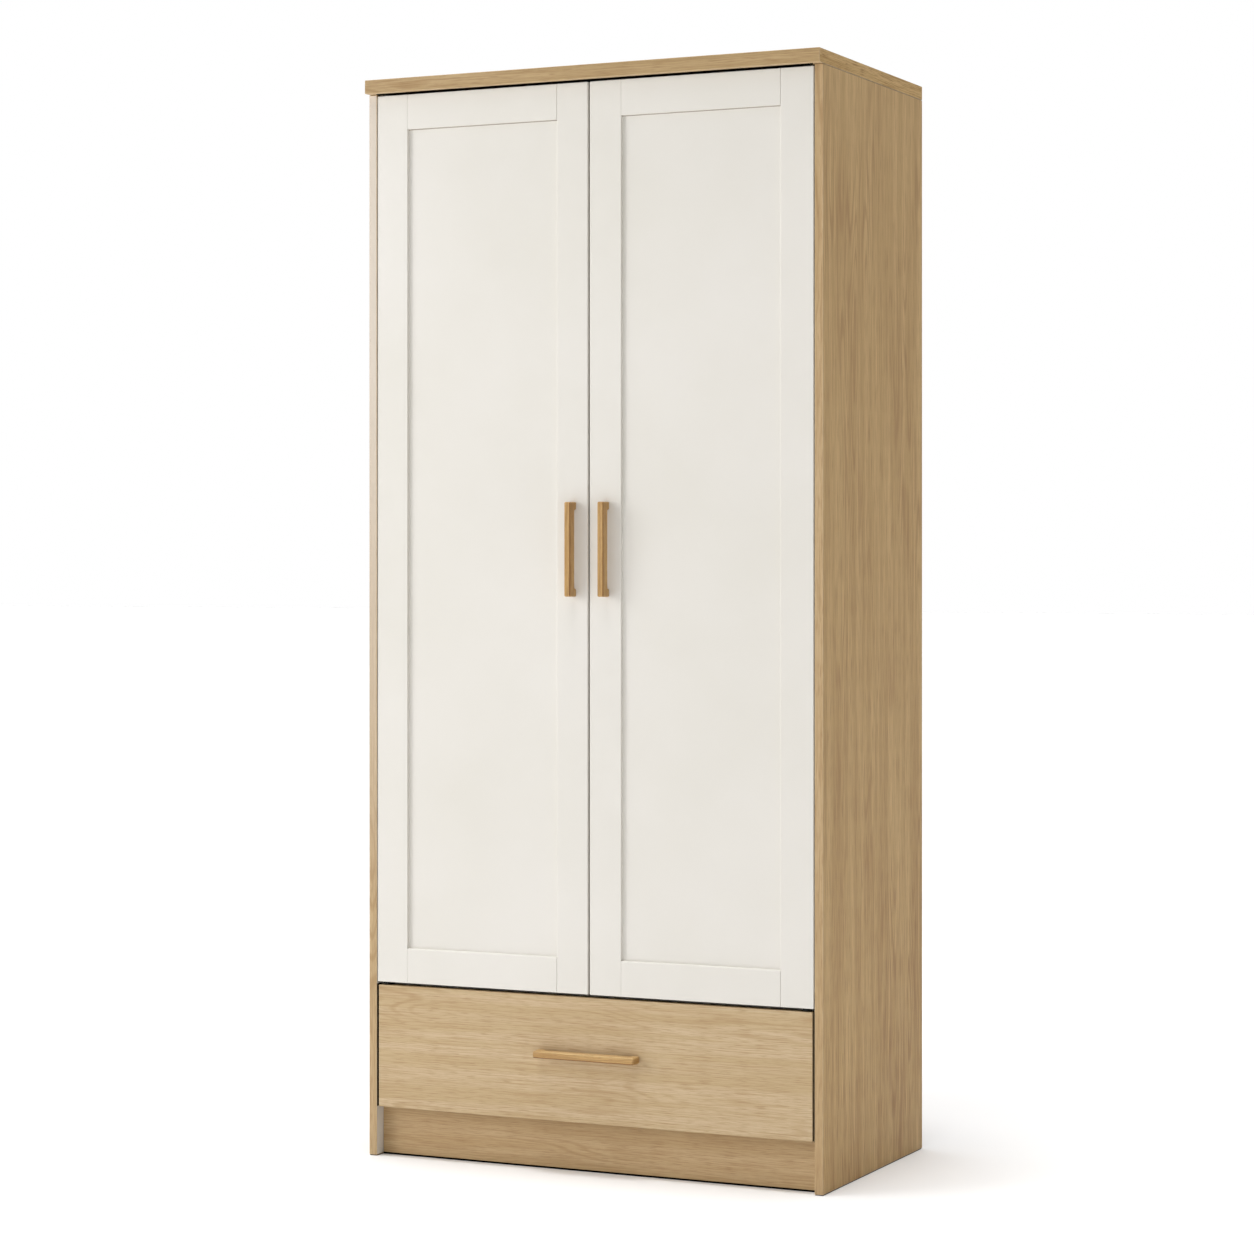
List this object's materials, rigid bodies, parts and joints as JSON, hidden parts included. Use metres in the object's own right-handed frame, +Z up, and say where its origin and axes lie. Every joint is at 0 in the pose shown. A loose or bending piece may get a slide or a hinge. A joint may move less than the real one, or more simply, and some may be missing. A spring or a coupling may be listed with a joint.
{
  "type": "wardrobe",
  "caption": "Tall wardrobe with a pair of framed doors inset between its sides, a drawer below them, wooden bow handles, and a hanging rail and shelf inside.",
  "frame": {"origin": "on the floor, in the middle of the overall box in width and depth, handles included", "axes": "+Z up, +Y towards the back, -Y out of the front, +X to the right when facing the doors"},
  "size_m": [0.9, 0.5214, 1.98],
  "materials": {
    "oak_board": "oak-effect melamine-faced board, fine grain, satin",
    "cream_door": "warm white foil-wrapped fibreboard, satin",
    "handle_wood": "oiled honey-coloured hardwood",
    "white_board": "pale linen-grey faced board and hardboard, matt",
    "zinc_steel": "bright zinc-plated steel",
    "chrome_steel": "chromed steel tube",
    "nylon": "off-white moulded nylon"
  },
  "bodies": {
    "carcass": {"top_panel": "oak_board", "plinth_front": "oak_board", "plinth_rear": "oak_board", "side_panel_left": "oak_board", "side_panel_right": "oak_board", "hat_shelf": "white_board", "floor_shelf": "white_board", "bottom_panel": "white_board", "back_board_left": "white_board", "back_board_right": "white_board", "back_joiner": "white_board", "hanging_rail": "chrome_steel", "rail_socket_left": "zinc_steel", "top_pivot_plate_left": "zinc_steel", "bottom_pivot_plate_left": "zinc_steel", "magnet_catch_left": "nylon", "drawer_slide_outer_left": "zinc_steel", "rail_socket_right": "zinc_steel", "top_pivot_plate_right": "zinc_steel", "bottom_pivot_plate_right": "zinc_steel", "magnet_catch_right": "nylon", "drawer_slide_outer_right": "zinc_steel"},
    "left_door": {"left_door_hinge_stile": "cream_door", "left_door_meeting_stile": "cream_door", "left_door_top_rail": "cream_door", "left_door_bottom_rail": "cream_door", "left_door_panel": "cream_door", "left_door_top_bush": "nylon", "left_door_bottom_bush": "nylon", "left_door_strike_plate": "zinc_steel", "left_door_handle": "handle_wood"},
    "right_door": {"right_door_hinge_stile": "cream_door", "right_door_meeting_stile": "cream_door", "right_door_top_rail": "cream_door", "right_door_bottom_rail": "cream_door", "right_door_panel": "cream_door", "right_door_top_bush": "nylon", "right_door_bottom_bush": "nylon", "right_door_strike_plate": "zinc_steel", "right_door_handle": "handle_wood"},
    "drawer": {"drawer_front": "oak_board", "drawer_side_left": "white_board", "drawer_side_right": "white_board", "drawer_back": "white_board", "drawer_base": "white_board", "drawer_slide_inner_left": "zinc_steel", "drawer_slide_inner_right": "zinc_steel", "drawer_handle": "handle_wood"},
    "drawer_slide_middles": {"drawer_slide_middle_left": "zinc_steel", "drawer_slide_middle_right": "zinc_steel"}
  },
  "joints": [
    {"name": "left_door_hinge", "type": "hinge", "parent": "carcass", "child": "left_door", "pos_m": [-0.416, -0.22825, 0.9], "axis": [0, 0, -1], "range_deg": [0, 110]},
    {"name": "right_door_hinge", "type": "hinge", "parent": "carcass", "child": "right_door", "pos_m": [0.416, -0.22825, 0.9], "axis": [0, 0, 1], "range_deg": [0, 110]},
    {"name": "drawer_slide", "type": "slide", "parent": "carcass", "child": "drawer", "axis": [0, -1, 0], "range_m": [0, 0.38]},
    {"name": "slide_middles", "type": "slide", "parent": "carcass", "child": "drawer_slide_middles", "axis": [0, -1, 0], "range_m": [0, 0.19]}
  ],
  "couplings": [
    {"joint": "slide_middles", "follows": "drawer_slide", "ratio": 0.5}
  ]
}
